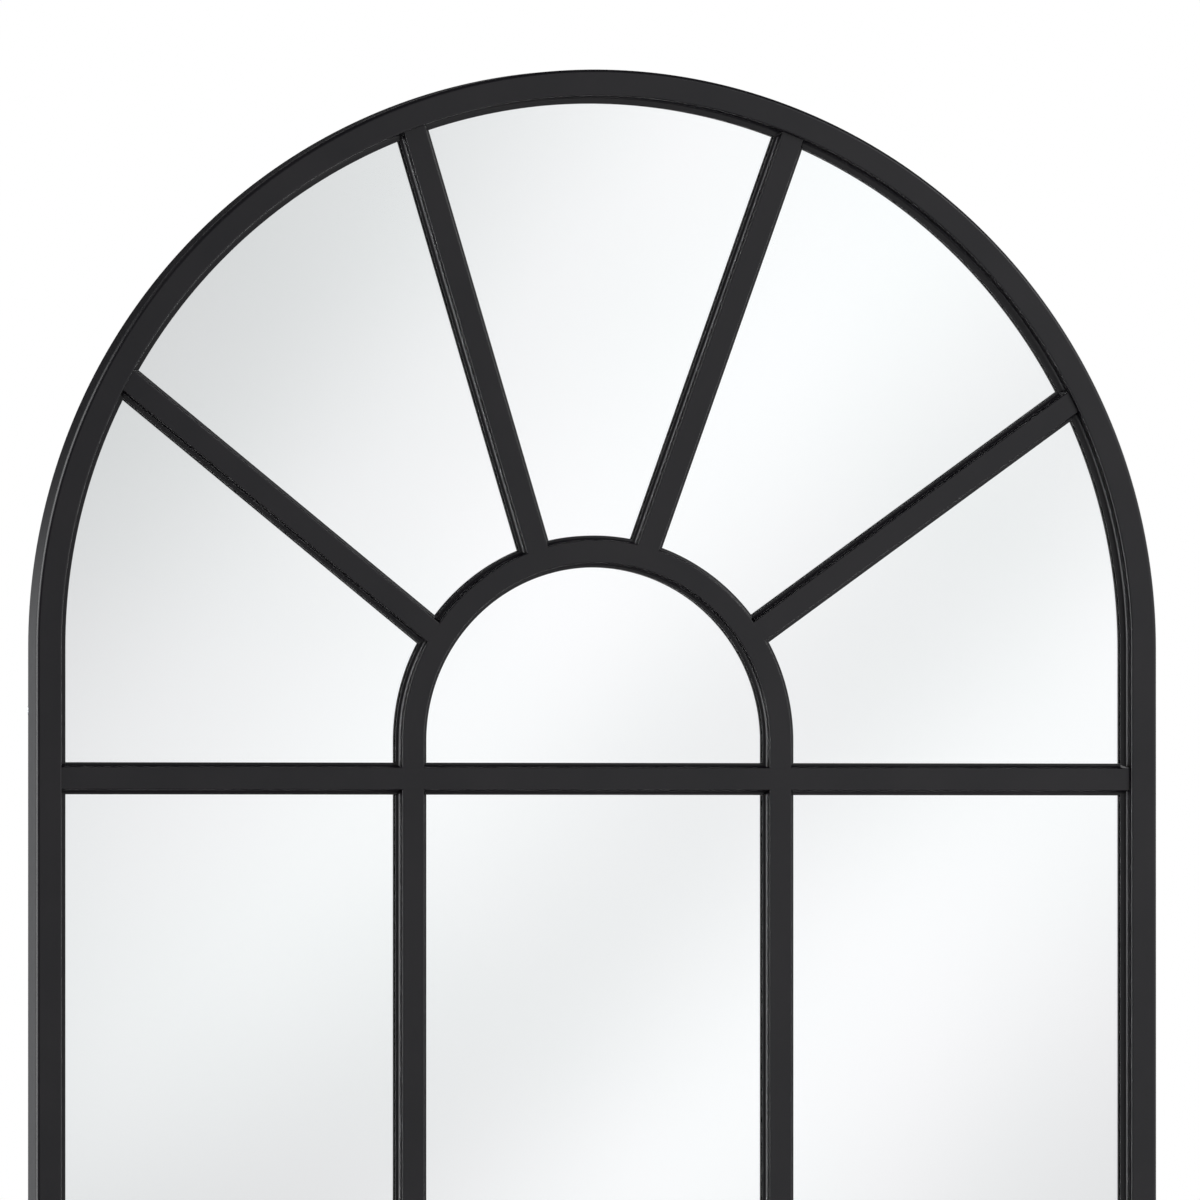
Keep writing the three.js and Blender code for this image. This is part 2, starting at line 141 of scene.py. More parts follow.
def vary(tree, shader, socket, factor, low, high):
    """A shader input that follows factor between two values."""
    settings = {"Value": factor, "To Min": low, "To Max": high}
    tree.links.new(add(tree, "ShaderNodeMapRange", settings).outputs["Result"], shader.inputs[socket])


def powder_coat():
    """Fine-grain black polyester powder, oven cured on steel: a satin skin with faint orange peel."""
    made, tree, shader, spot = material("black_powder_coat")
    shader.inputs["IOR"].default_value = 1.43
    broad = noise(tree, spot, 60, 3)
    tone = ramp(tree, broad, [(0.3, linear("#100f14")), (0.7, linear("#171519"))])
    tree.links.new(tone.outputs["Color"], shader.inputs["Base Color"])
    vary(tree, shader, "Roughness", noise(tree, spot, 9, 3), 0.27, 0.34)
    peel = noise(tree, spot, 2.2, 3, 0.6)
    bump(tree, shader, peel, 0.1, 0.03)
    return made


def float_glass():
    """Clear float glass in front of the silver, with the faintest waviness in its tint."""
    made, tree, shader, spot = material("float_glass")
    shader.inputs["Transmission Weight"].default_value = 1.0
    shader.inputs["IOR"].default_value = 1.52
    shader.inputs["Roughness"].default_value = 0.0
    tone = ramp(tree, noise(tree, spot, 400, 2), [(0.3, linear("#fcfefd")), (0.7, linear("#ffffff"))])
    tree.links.new(tone.outputs["Color"], shader.inputs["Base Color"])
    return made


def silver_backing():
    """Silver laid on the back of the glass: a clean bright reflection, cloudy by a hair."""
    made, tree, shader, spot = material("silver_backing")
    shader.inputs["Metallic"].default_value = 1.0
    tone = ramp(tree, noise(tree, spot, 400, 2), [(0.3, linear("#fafbfc")), (0.7, linear("#fcfcfd"))])
    tree.links.new(tone.outputs["Color"], shader.inputs["Base Color"])
    vary(tree, shader, "Roughness", noise(tree, spot, 120, 2), 0.0, 0.012)
    return made


def fibreboard():
    """Hardboard with a black sealed face: matt, with pressed fibres."""
    made, tree, shader, spot = material("black_fibreboard")
    stretched = add(tree, "ShaderNodeMapping", {"Vector": spot, "Scale": (1.0, 1.0, 0.25)}).outputs[0]
    fibres = noise(tree, stretched, 4, 6, 0.7)
    tone = ramp(tree, fibres, [(0.25, linear("#1d1a18")), (0.6, linear("#2c2724")), (0.8, linear("#3a332e"))])
    tree.links.new(tone.outputs["Color"], shader.inputs["Base Color"])
    vary(tree, shader, "Roughness", fibres, 0.72, 0.9)
    bump(tree, shader, fibres, 0.4, 0.15)
    return made


def zinc_plate():
    """Bright zinc on stamped steel: a pale grey metal with cloudy spangle and a faint drawn grain."""
    made, tree, shader, spot = material("bright_zinc")
    shader.inputs["Metallic"].default_value = 1.0
    cloudy = noise(tree, spot, 5, 3)
    tone = ramp(tree, cloudy, [(0.3, linear("#a9acae")), (0.7, linear("#c3c6c8"))])
    tree.links.new(tone.outputs["Color"], shader.inputs["Base Color"])
    grain = add(tree, "ShaderNodeMapping", {"Vector": spot, "Scale": (1.0, 1.0, 0.08)}).outputs[0]
    vary(tree, shader, "Roughness", cloudy, 0.26, 0.4)
    bump(tree, shader, noise(tree, grain, 0.5, 2), 0.15, 0.02)
    return made


def rubber():
    """Moulded black rubber: matt, a touch dusty, with a fine moulded grain."""
    made, tree, shader, spot = material("black_rubber")
    dust = noise(tree, spot, 8, 4)
    tone = ramp(tree, dust, [(0.35, linear("#171717")), (0.75, linear("#262625"))])
    tree.links.new(tone.outputs["Color"], shader.inputs["Base Color"])
    vary(tree, shader, "Roughness", dust, 0.75, 0.92)
    bump(tree, shader, noise(tree, spot, 0.7, 2), 0.3, 0.05)
    return made


PAINT = powder_coat()
GLASS = float_glass()
SILVER = silver_backing()
BOARD = fibreboard()
ZINC = zinc_plate()
RUBBER = rubber()

# ---- Outlines ------------------------------------------------------------------------------------


def arc(x, y, radius, start, end, steps=6):
    turns = [math.radians(start + (end - start) * i / steps) for i in range(steps + 1)]
    return [(x + radius * math.cos(t), y + radius * math.sin(t)) for t in turns]


def held(outline, edge=0.25, closed=True):
    """The outline with a point close to both ends of each long side, so that flat faces shade flat."""
    points = []
    ends = outline[1:] + outline[:1] if closed else outline[1:]
    for (ax, ay), (bx, by) in zip(outline, ends):
        points.append((ax, ay))
        length = math.hypot(bx - ax, by - ay)
        if length > 4 * edge:
            for t in (edge / length, 1 - edge / length):
                points.append((ax + (bx - ax) * t, ay + (by - ay) * t))
    return points if closed else points + outline[-1:]


def lip_outline(wall, reach):
    edge = wall + reach
    bend = arc(wall + FOOT, LIP_FRONT - FOOT, FOOT, 180, 90)
    return bend + arc(edge - LIP_EDGE, LIP_FRONT + LIP_EDGE, LIP_EDGE, 270, 360, 3) + [(edge, LIP_PLANE)]


def tube_outline():
    """x from the outside of the frame inwards, y from its front face to the back."""
    far = TUBE_FACE - INNER_CORNER
    return held(
        arc(OUTER_CORNER, OUTER_CORNER, OUTER_CORNER, 180, 270, 8)
        + arc(far, INNER_CORNER, INNER_CORNER, 270, 360, 8)
        + lip_outline(TUBE_FACE, TUBE_LIP)
        + [(TUBE_FACE, LIP_PLANE)]
        + arc(far, DEPTH - INNER_CORNER, INNER_CORNER, 0, 90)
        + arc(OUTER_CORNER, DEPTH - OUTER_CORNER, OUTER_CORNER, 90, 180)
    )


def bar_outline():
    """A top hat: x across the bar from its middle, y from the tube's front face to the back."""
    half = BAR_FACE / 2
    right = arc(half - BAR_CORNER, BAR_SETBACK + BAR_CORNER, BAR_CORNER, 270, 360, 8)
    right += lip_outline(half, BAR_LIP)
    left = [(-x, y) for x, y in reversed(right)]
    inside, roof = half - SHEET, BAR_SETBACK + SHEET
    hollow = [(inside, LIP_PLANE), (inside, roof), (-inside, roof), (-inside, LIP_PLANE)]
    return held(right + hollow + left)


def wall_at(depth, wall, lip, front, corner):
    """How far out a section reaches at a depth: its rounded corner, its side, its foot or its lip."""
    if depth < front + corner:
        return wall - corner + math.sqrt(max(corner**2 - (front + corner - depth) ** 2, 0.0))
    if depth <= LIP_FRONT - FOOT:
        return wall
    if depth < LIP_FRONT - 1e-6:
        return wall + FOOT - math.sqrt(max(FOOT**2 - (depth - LIP_FRONT + FOOT) ** 2, 0.0))
    return wall + lip


def bar_reach(depth):
    return wall_at(depth, BAR_FACE / 2, BAR_LIP, BAR_SETBACK, BAR_CORNER) + SEAM


def tube_reach(depth):
    return wall_at(depth, TUBE_FACE, TUBE_LIP, 0.0, INNER_CORNER) + SEAM


# ---- Mesh building -------------------------------------------------------------------------------


def finish_mesh(bm, name, looks, angle=32.0):
    """The mesh as an object with faces outward, its sharp edges marked and its material in place."""
    bmesh.ops.recalc_face_normals(bm, faces=bm.faces)
    for face in bm.faces:
        face.smooth = True
    for edge in bm.edges:
        edge.smooth = len(edge.link_faces) == 2 and edge.calc_face_angle(0.0) < math.radians(angle)
    mesh = bpy.data.meshes.new(name)
    bm.to_mesh(mesh)
    bm.free()
    mesh.materials.append(looks)
    made = bpy.data.objects.new(name, mesh)
    bpy.context.scene.collection.objects.link(made)
    return made


def loft(name, rings, looks, angle=32.0):
    """A closed body through rings of equally many points, in millimetres."""
    bm = bmesh.new()
    made = [[bm.verts.new(Vector(p) * MM) for p in ring] for ring in rings]
    count = len(rings[0])
    for low, high in zip(made, made[1:]):
        for i in range(count):
            j = (i + 1) % count
            bm.faces.new((low[i], low[j], high[j], high[i]))
    caps = [bm.faces.new(made[0][::-1]), bm.faces.new(made[-1])]
    bmesh.ops.triangulate(bm, faces=caps, ngon_method="EAR_CLIP")
    return finish_mesh(bm, name, looks, angle)


def place(point, across, x, depth):
    """A section point on a path in the mirror's plane."""
    return (point[0] + across[0] * x, FACE_Y + depth, point[1] + across[1] * x)


def round_path(centre, radius, start, end, steps):
    turn = 1 if end > start else -1
    unit = arc(0, 0, 1, start, end, steps)
    return [((centre[0] + u * radius, centre[1] + v * radius), (u * turn, v * turn)) for u, v in unit]


def show(made, node_names, body="mirror"):
    """Hands a finished piece to the frame in place of its CAD nodes."""
    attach(made, body)
    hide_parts(*node_names)
    return made


# ---- Outer frame ---------------------------------------------------------------------------------

tube = tube_outline()
mitre = GAP * math.sqrt(2)
hoop_path = [((-RADIUS, RAIL_Z + mitre), (1, 1))]
hoop_path += round_path((0, SPRING), RADIUS, 180, 0, 180)
hoop_path += [((RADIUS, RAIL_Z + mitre), (-1, 1))]
# The arch's path turns its section's x inwards, as the mitred ends do.
hoop = loft("arched_frame_look", [[place(p, a, x, y) for x, y in tube] for p, a in hoop_path], PAINT)
show(hoop, ["left_stile", "arch_tube", "right_stile"])
rail_path = [((RADIUS, RAIL_Z), (-1, 1)), ((-RADIUS, RAIL_Z), (1, 1))]
rail = loft("bottom_rail_look", [[place(p, a, x, y) for x, y in tube] for p, a in rail_path], PAINT)
show(rail, ["bottom_rail"])

# ---- Glazing bars --------------------------------------------------------------------------------

bar = bar_outline()


def end_on_level(level, side, reach):
    """Where a line stops above (side 1) or below (side -1) a level bar."""

    def stop(start, along, depth):
        return (level + side * reach(depth) - start[1]) / along[1]

    return stop


def end_on_stile(side):
    def stop(start, along, depth):
        return (side * (RADIUS - tube_reach(depth)) - start[0]) / along[0]

    return stop


def end_on_ring(centre, radius_at):
    """Where a line that runs outwards meets a ring round the centre."""

    def stop(start, along, depth):
        to = Vector(start) - Vector(centre)
        towards = to.dot(Vector(along))
        return -towards + math.sqrt(towards**2 - to.length_squared + radius_at(depth) ** 2)

    return stop


def straight_bar(name, start, end, start_stop, end_stop):
    """A bar whose every line runs on to the surface that it is coped to."""
    along = (Vector(end) - Vector(start)).normalized()
    across = Vector((along[1], -along[0]))
    rings = []
    for stop in (start_stop, end_stop):
        ring = []
        for x, depth in bar:
            foot = Vector(start) + across * x
            point = foot + along * stop(foot, along, depth)
            ring.append((point[0], FACE_Y + depth, point[1]))
        rings.append(ring)
    return show(loft(name + "_look", rings, PAINT), [name])


for row, level in enumerate(LEVELS):
    cross = "transom_bar" if row == 0 else f"crossbar_{row}"
    straight_bar(cross, (-RADIUS, level), (RADIUS, level), end_on_stile(-1), end_on_stile(1))
    for side, x in (("left", -SMALL_R), ("right", SMALL_R)):
        if row + 1 < ROWS:
            lower_end = end_on_level(LEVELS[row + 1], 1, bar_reach)
        else:
            lower_end = end_on_level(RAIL_Z, 1, tube_reach)
        upper_end = end_on_level(level, -1, bar_reach)
        straight_bar(f"muntin_{side}_{row + 1}", (x, 0), (x, level), lower_end, upper_end)

small_path = round_path((0, SMALL_Z), SMALL_R, 180, 0, 120)
small_rings = [[place(p, a, x, y) for x, y in bar] for p, a in small_path]
for end, (point, across) in ((0, small_path[0]), (-1, small_path[-1])):
    foot_ring = [(point[0] + across[0] * x, FACE_Y + y, TRANSOM + bar_reach(y)) for x, y in bar]
    small_rings.insert(0 if end == 0 else len(small_rings), foot_ring)
show(loft("small_arch_look", small_rings, PAINT), ["small_arch"])


def on_circle(centre_z, radius, angle):
    turn = math.radians(angle)
    return (radius * math.sin(turn), centre_z + radius * math.cos(turn))


for ray_name, (foot_angle, head_angle) in RAYS.items():
    straight_bar(
        ray_name,
        on_circle(SMALL_Z, SMALL_R, foot_angle),
        on_circle(SPRING, RADIUS - MID, head_angle),
        end_on_ring((0, SMALL_Z), lambda depth: SMALL_R + bar_reach(depth)),
        end_on_ring((0, SPRING), lambda depth: RADIUS - tube_reach(depth)),
    )

# ---- Mirror and backing board --------------------------------------------------------------------


def arched_ring(inset, depth):
    half = RADIUS - TUBE_FACE - inset[0]
    bottom = OPEN_Z + GAP + inset[1]
    outline = [(-half, bottom), (half, bottom)] + arc(0, SPRING, half, 0, 180, 160)
    return [(x, FACE_Y + depth, z) for x, z in outline]


def arched_sheet(name, gap, front, thickness, arris, looks):
    levels = [(arris, 0), (0, arris), (0, thickness - arris), (arris, thickness)]
    rings = [arched_ring((gap + inset, inset), front + depth) for inset, depth in levels]
    return loft(name, rings, looks)


glass_front = LIP_PLANE + GAP
board_front = glass_front + GLASS_T + GAP
glass = arched_sheet("mirror_glass_look", SHEET_EDGE, glass_front, GLASS_T, 0.5, GLASS)
glass.data.materials.append(SILVER)
for face in glass.data.polygons:
    if all(glass.data.vertices[v].co.y > (FACE_Y + glass_front + GLASS_T - 0.01) * MM for v in face.vertices):
        face.material_index = 1
show(glass, ["mirror_glass"])
board = arched_sheet("backing_board_look", BOARD_EDGE, board_front, BOARD_T, 0.3, BOARD)
show(board, ["backing_board"])

# ---- Bent and turned hardware --------------------------------------------------------------------


def prism(name, outline, half_width, looks, edge=0.2):
    """A bent strip: its side outline drawn in x and y, run along z, with its edges broken."""
    bm = bmesh.new()
    low, high = (
        [bm.verts.new(Vector((x, y, z)) * MM) for x, y in outline] for z in (-half_width, half_width)
    )
    bm.faces.new(low[::-1])
    bm.faces.new(high)
    for i in range(len(outline)):
        j = (i + 1) % len(outline)
        bm.faces.new((low[i], low[j], high[j], high[i]))
    bmesh.ops.recalc_face_normals(bm, faces=bm.faces)
    sharp = [e for e in bm.edges if e.calc_face_angle(0.0) > math.radians(50)]
    bmesh.ops.bevel(bm, geom=sharp, offset=edge * MM, segments=2, affect="EDGES", clamp_overlap=True)
    return finish_mesh(bm, name, looks)


def lathe(name, profile, looks, steps=32):
    """A turned body about the y axis; the profile is (radius, y) from one pole to the other."""
    bm = bmesh.new()
    rings = []
    for radius, y in profile:
        if radius < 1e-6:
            rings.append([bm.verts.new((0, y * MM, 0))])
        else:
            circle = arc(0, 0, radius, 0, 360, steps)[:-1]
            rings.append([bm.verts.new((x * MM, y * MM, z * MM)) for x, z in circle])
    for low, high in zip(rings, rings[1:]):
        for i in range(steps):
            j = (i + 1) % steps
            corners = (low[i % len(low)], low[j % len(low)], high[j % len(high)], high[i % len(high)])
            bm.faces.new(list(dict.fromkeys(corners)))
    return finish_mesh(bm, name, looks, 40.0)


def repeater():
    """Geometry Nodes that set one piece on every point, turned by the point and by a seeded spread."""
    tree = bpy.data.node_groups.new("piece_on_points", "GeometryNodeTree")
    for label, kind in (
        ("Points", "NodeSocketGeometry"),
        ("Piece", "NodeSocketObject"),
        ("Finish", "NodeSocketMaterial"),
        ("Spread", "NodeSocketFloat"),
        ("Size", "NodeSocketFloat"),
        ("Seed", "NodeSocketInt"),
    ):
        tree.interface.new_socket(label, in_out="INPUT", socket_type=kind)
    tree.interface.new_socket("Pieces", in_out="OUTPUT", socket_type="NodeSocketGeometry")
    given = add(tree, "NodeGroupInput").outputs
    piece = add(tree, "GeometryNodeObjectInfo", {"Object": given["Piece"], "As Instance": True})
    turn = add(tree, "GeometryNodeInputNamedAttribute", {"Name": "turn"}, data_type="FLOAT")
    spread = add(tree, "FunctionNodeRandomValue", {"Seed": given["Seed"]}, data_type="FLOAT")
    extra = add(
        tree,
        "ShaderNodeMath",
        {0: spread.outputs[1], 1: given["Spread"], 2: turn.outputs["Attribute"]},
        operation="MULTIPLY_ADD",
    )
    way = add(tree, "ShaderNodeCombineXYZ", {"Y": extra.outputs[0]})
    placed = add(
        tree,
        "GeometryNodeInstanceOnPoints",
        {
            "Points": given["Points"],
            "Instance": piece.outputs["Geometry"],
            "Rotation": way.outputs[0],
            "Scale": given["Size"],
        },
    )
    real = add(tree, "GeometryNodeRealizeInstances", {"Geometry": placed.outputs[0]})
    coated = add(tree, "GeometryNodeSetMaterial", {"Geometry": real.outputs[0], "Material": given["Finish"]})
    add(tree, "NodeGroupOutput", {"Pieces": coated.outputs[0]})
    return tree


REPEATER = repeater()


def repeat(name, piece, seats, looks, spread=0.0, seed=1):
    """Copies of a piece as one plain mesh. A seat is (point, across, x, depth) on the outer tube."""
    carrier = bpy.data.meshes.new(name + "_points")
    carrier.from_pydata([Vector(place(*seat)) * MM for seat in seats], [], [])
    turns = carrier.attributes.new("turn", "FLOAT", "POINT")
    for item, (_, across, _, _) in zip(turns.data, seats):
        item.value = math.atan2(-across[1], across[0])
    holder = bpy.data.objects.new(name + "_points", carrier)
    bpy.context.scene.collection.objects.link(holder)
    modifier = holder.modifiers.new("pieces", "NODES")
    modifier.node_group = REPEATER
    keys = {item.name: item.identifier for item in REPEATER.interface.items_tree if item.in_out == "INPUT"}
    modifier[keys["Piece"]] = piece
    modifier[keys["Finish"]] = looks
    modifier[keys["Spread"]] = spread
    modifier[keys["Size"]] = 1.0
    modifier[keys["Seed"]] = seed
    depsgraph = bpy.context.evaluated_depsgraph_get()
    mesh = bpy.data.meshes.new_from_object(holder.evaluated_get(depsgraph), depsgraph=depsgraph)
    mesh.name = name
    holder.modifiers.remove(modifier)
    bpy.data.objects.remove(holder)
    bpy.data.objects.remove(piece)
    made = bpy.data.objects.new(name, mesh)
    bpy.context.scene.collection.objects.link(made)
    return made


def left_stile_at(height):
    return (-RADIUS, height), (1, 0)


def right_stile_at(height):
    return (RADIUS, height), (-1, 0)


def rail_at(x):
    return (x, RAIL_Z), (0, 1)


def arch_at(angle):
    out = (math.sin(math.radians(angle)), math.cos(math.radians(angle)))
    return (RADIUS * out[0], SPRING + RADIUS * out[1]), (-out[0], -out[1])


def evenly(count, start, end):
    return [start + (end - start) * (i + 0.5) / count for i in range(count)]


HANGER_Z = SPRING - HANGER_DROP
clip_seats = {}
for i, height in enumerate(evenly(STILE_CLIPS, RAIL_Z, HANGER_Z)):
    clip_seats[f"left_{i + 1}"] = left_stile_at(height)
    clip_seats[f"right_{i + 1}"] = right_stile_at(height)
for i, angle in enumerate(ARCH_CLIPS):
    clip_seats[f"arch_{i + 1}"] = arch_at(angle)
for i, x in enumerate(evenly(RAIL_CLIPS, -RADIUS, RADIUS)):
    clip_seats[f"rail_{i + 1}"] = rail_at(x)


def clip():
    """A strip bent to a Z, from the back of the tube down to the backing board."""
    foot, tip = DEPTH + GAP, LIP_PLANE + 3 * GAP + GLASS_T + BOARD_T
    web, tight = TUBE_FACE + CLIP_WEB, CLIP_BEND - CLIP_T
    high = (web - tight, foot - tight)
    low = (web + CLIP_BEND, tip + CLIP_BEND)
    outline = [(CLIP_INSET, foot)] + arc(*high, tight, 90, 0) + arc(*low, CLIP_BEND, 180, 270)
    outline += [(web + CLIP_TIP, tip), (web + CLIP_TIP, tip + CLIP_T)]
    outline += arc(*low, tight, 270, 180) + arc(*high, CLIP_BEND, 0, 90) + [(CLIP_INSET, foot + CLIP_T)]
    return prism("clip_piece", outline, CLIP_WIDTH / 2, ZINC)


def screw():
    """A pan-head self-tapping screw with a cross recess; y = 0 is the underside of its head."""
    thread = [(0.0, -SCREW_LENGTH), (POINT_R, -SCREW_LENGTH + POINT_LENGTH)]
    y = -SCREW_LENGTH + 1.6
    while y < -0.6:
        thread += [(SCREW_R, y), (SCREW_R - THREAD_DEPTH, y + THREAD_PITCH / 2)]
        y += THREAD_PITCH
    head = [(SCREW_R, 0.0), (HEAD_R - 0.25, 0.0), (HEAD_R, 0.25)]
    dome = [(HEAD_R * u, HEAD_EDGE + (HEAD_T - HEAD_EDGE) * v) for u, v in arc(0, 0, 1, 0, 90, 8)[:-1]]
    made = lathe("screw_piece", thread + head + dome + [(0.0, HEAD_T)], ZINC)
    bm = bmesh.new()
    cross = [(1, 0.2), (0.2, 0.2), (0.2, 1), (-0.2, 1), (-0.2, 0.2), (-1, 0.2)]
    cross += [(-x, -z) for x, z in cross]
    rings = [
        [bm.verts.new((x * reach * MM, y * MM, z * reach * MM)) for x, z in cross]
        for y, reach in ((HEAD_T - RECESS_DEPTH, 1.1), (HEAD_T + 0.2, 2.3))
    ]
    for i in range(len(cross)):
        j = (i + 1) % len(cross)
        bm.faces.new((rings[0][i], rings[0][j], rings[1][j], rings[1][i]))
    bm.faces.new(rings[0][::-1])
    bm.faces.new(rings[1])
    cutter = finish_mesh(bm, "recess_cutter", ZINC)
    cutting = made.modifiers.new("recess", "BOOLEAN")
    cutting.operation, cutting.solver, cutting.object = "DIFFERENCE", "EXACT", cutter
    depsgraph = bpy.context.evaluated_depsgraph_get()
    mesh = bpy.data.meshes.new_from_object(made.evaluated_get(depsgraph), depsgraph=depsgraph)
    made.modifiers.remove(cutting)
    made.data = mesh
    bpy.data.objects.remove(cutter)
    return made


def bumper():
    """A moulded round buffer, with a broken rim and a shallow dish in its face."""
    rim = BUMPER_R - BUMPER_EDGE
    profile = [(0.0, 0.0), (BUMPER_R - 0.3, 0.0), (BUMPER_R, 0.3)]
    profile += [(x, y) for x, y in arc(rim, BUMPER_T - BUMPER_EDGE, BUMPER_EDGE, 0, 90)]
    profile += [(DISH_R, BUMPER_T), (DISH_R - 0.5, BUMPER_T - 0.7 * DISH_DEPTH), (0.0, BUMPER_T - DISH_DEPTH)]
    return lathe("bumper_piece", profile, RUBBER, 48)


clips = repeat("board_clips_look", clip(), [(*seat, 0, 0) for seat in clip_seats.values()], ZINC)
show(clips, [f"clip_{name}" for name in clip_seats])

sides = {"left": left_stile_at, "right": right_stile_at}
screw_seats = {
    f"clip_screw_{name}": (*seat, MID, DEPTH + 2 * GAP + CLIP_T) for name, seat in clip_seats.items()
}
for side, seat_at in sides.items():
    for i, drop in enumerate(STRAP_HOLES):
        seat = (*seat_at(HANGER_Z - drop), MID, DEPTH + 2 * GAP + STRAP_T)
        screw_seats[f"hanger_screw_{side}_{i + 1}"] = seat
screws = repeat("screws_look", screw(), list(screw_seats.values()), ZINC, math.tau, 7)
show(screws, list(screw_seats))

bumper_seats = {
    "bumper_lower_left": left_stile_at(BUMPER_Z),
    "bumper_lower_right": right_stile_at(BUMPER_Z),
    "bumper_upper_left": arch_at(-BUMPER_ANGLE),
    "bumper_upper_right": arch_at(BUMPER_ANGLE),
}
bumper_places = [(*seat, MID, DEPTH + GAP) for seat in bumper_seats.values()]
bumpers = repeat("bumpers_look", bumper(), bumper_places, RUBBER)
show(bumpers, list(bumper_seats))

AXIS_DEPTH = DEPTH + 2 * GAP + STRAP_T + WIRE


def strap(side, x):
    """A flat strap that curls over the ring's straight side and ends round below its screws."""
    bend, half, end = WIRE + GAP + STRAP_T / 2, STRAP_WIDTH / 2, -STRAP_LENGTH + STRAP_WIDTH / 2
    stations = [((bend * u, bend * v), (u, v), half) for u, v in arc(0, 0, 1, 180 - STRAP_WRAP, 180, 36)]
    stations += [((-bend, z), (-1, 0), half) for z in (-0.5, -8.0, -20.0, -32.0, end)]
    stations += [((-bend, end + half * v), (-1, 0), half * u) for u, v in arc(0, 0, 1, -6, -88, 16)]
    rings = []
    for (depth, z), (out, up), width in stations:
        round_off = min(0.2, width / 2)
        ring = []
        for side_x, side_t, start in ((1, 1, 0), (-1, 1, 90), (-1, -1, 180), (1, -1, 270)):
            corner = (side_x * (width - round_off), side_t * (STRAP_T / 2 - 0.2))
            for u, v in arc(0, 0, 1, start, start + 90, 3):
                across, thick = corner[0] + u * round_off, corner[1] + v * 0.2
                y = FACE_Y + AXIS_DEPTH + depth + thick * out
                ring.append((x + across, y, HANGER_Z + z + thick * up))
        rings.append(ring)
    made = loft(f"hanger_strap_{side}_look", rings, ZINC)
    show(made, [f"hanger_strap_{side}"])


def ring(side, x):
    """A D of round wire whose two ends meet inside the strap's loop."""
    half = RING_WIDTH / 2 + WIRE
    corner = half - RING_CORNER
    path = [(WIRE_GAP / 2, 0.0, 0, 1), (corner * 0.6, 0.0, 0, 1)]
    bend = arc(0, 0, 1, 90, 0, 10)
    path += [(corner + RING_CORNER * u, -RING_CORNER + RING_CORNER * v, u, v) for u, v in bend]
    path += [(half * u, -RING_CORNER - RING_SIDE + half * v, u, v) for u, v in arc(0, 0, 1, 0, -90, 24)]
    path += [(-px, pz, -u, v) for px, pz, u, v in reversed(path[:-1])]
    rings = []
    for px, pz, u, v in path:
        section = arc(0, 0, WIRE, 0, 360, 16)[:-1]
        rings.append([(x + px + a * u, FACE_Y + AXIS_DEPTH + b, HANGER_Z + pz + a * v) for a, b in section])
    made = loft(f"hanger_ring_{side}_look", rings, ZINC, 40.0)
    show(made, [f"hanger_ring_{side}"], body=f"{side}_ring")


def rounded_strip(x, inset, z):
    """One level of a foot pad: a rectangle with round corners, set in from the pad's side."""
    points = []
    for sx, sy, start in ((1, 1, 0), (-1, 1, 90), (-1, -1, 180), (1, -1, 270)):
        cx, cy = sx * (PAD_LENGTH / 2 - PAD_CORNER), sy * (PAD_WIDTH / 2 - PAD_CORNER)
        quarter = arc(0, 0, PAD_CORNER - inset, start, start + 90)
        points += [(x + cx + px, FACE_Y + DEPTH / 2 + cy + py, z) for px, py in quarter]
    return points


def foot_pad(side, x):
    """A stick-on strip of solid rubber with round corners and broken edges."""
    levels = ((0.5, 0.0), (0.15, 0.15), (0.0, 0.5), (0.0, PAD_T - 0.3), (0.3, PAD_T))
    rings = [rounded_strip(x, inset, z) for inset, z in levels]
    made = loft(f"foot_pad_{side}_look", rings, RUBBER, 50.0)
    show(made, [f"foot_pad_{side}"])


for side, x in (("left", -RADIUS + MID), ("right", RADIUS - MID)):
    strap(side, x)
    ring(side, x)
for side, sign in (("left", -1), ("right", 1)):
    foot_pad(side, sign * (RADIUS - PAD_INSET - PAD_LENGTH / 2))

# ---- Stage ---------------------------------------------------------------------------------------

PAPER_Y = -6.0
PAPER_LEVEL, PAPER_LEVEL_ON_WALLS, ROOM_LEVEL, SOFTBOX_LEVEL = 1.035, 0.04, 0.85, 6.5
PAPER_WHITE = linear("#f2f3f4")
SHADE = linear("#242426")


def backdrop():
    """White to the camera, and a soft pale room to everything else."""
    world = bpy.data.worlds.new("studio")
    world.use_nodes = True
    tree = world.node_tree
    tree.nodes.clear()
    seen = add(tree, "ShaderNodeLightPath")
    white = add(tree, "ShaderNodeBackground", {"Color": (1, 1, 1, 1), "Strength": 1.0})
    room = add(tree, "ShaderNodeBackground", {"Color": (1, 1, 1, 1), "Strength": ROOM_LEVEL})
    sight = add(
        tree,
        "ShaderNodeMath",
        {0: seen.outputs["Is Camera Ray"], 1: seen.outputs["Is Glossy Ray"]},
        operation="MAXIMUM",
    )
    sight = add(
        tree,
        "ShaderNodeMath",
        {0: sight.outputs[0], 1: seen.outputs["Is Transmission Ray"]},
        operation="MAXIMUM",
    )
    mixed = add(
        tree,
        "ShaderNodeMixShader",
        {0: sight.outputs[0], 1: room.outputs[0], 2: white.outputs[0]},
    )
    add(tree, "ShaderNodeOutputWorld", {"Surface": mixed.outputs[0]})
    bpy.context.scene.world = world


def glow(name, corner, across, up, looks, mirrored=True, lights=False):
    """A flat panel from a corner along two sides, in metres, that the camera never sees.

    The bars always reflect it. The mirror shows it only if mirrored, and it lights matt things if lights.
    """
    bm = bmesh.new()
    corner, across, up = Vector(corner), Vector(across), Vector(up)
    bm.faces.new([bm.verts.new(c) for c in (corner, corner + across, corner + across + up, corner + up)])
    panel = finish_mesh(bm, name, looks)
    panel.visible_camera = False
    panel.visible_shadow = False
    panel.visible_diffuse = lights
    panel.visible_transmission = mirrored
    return panel


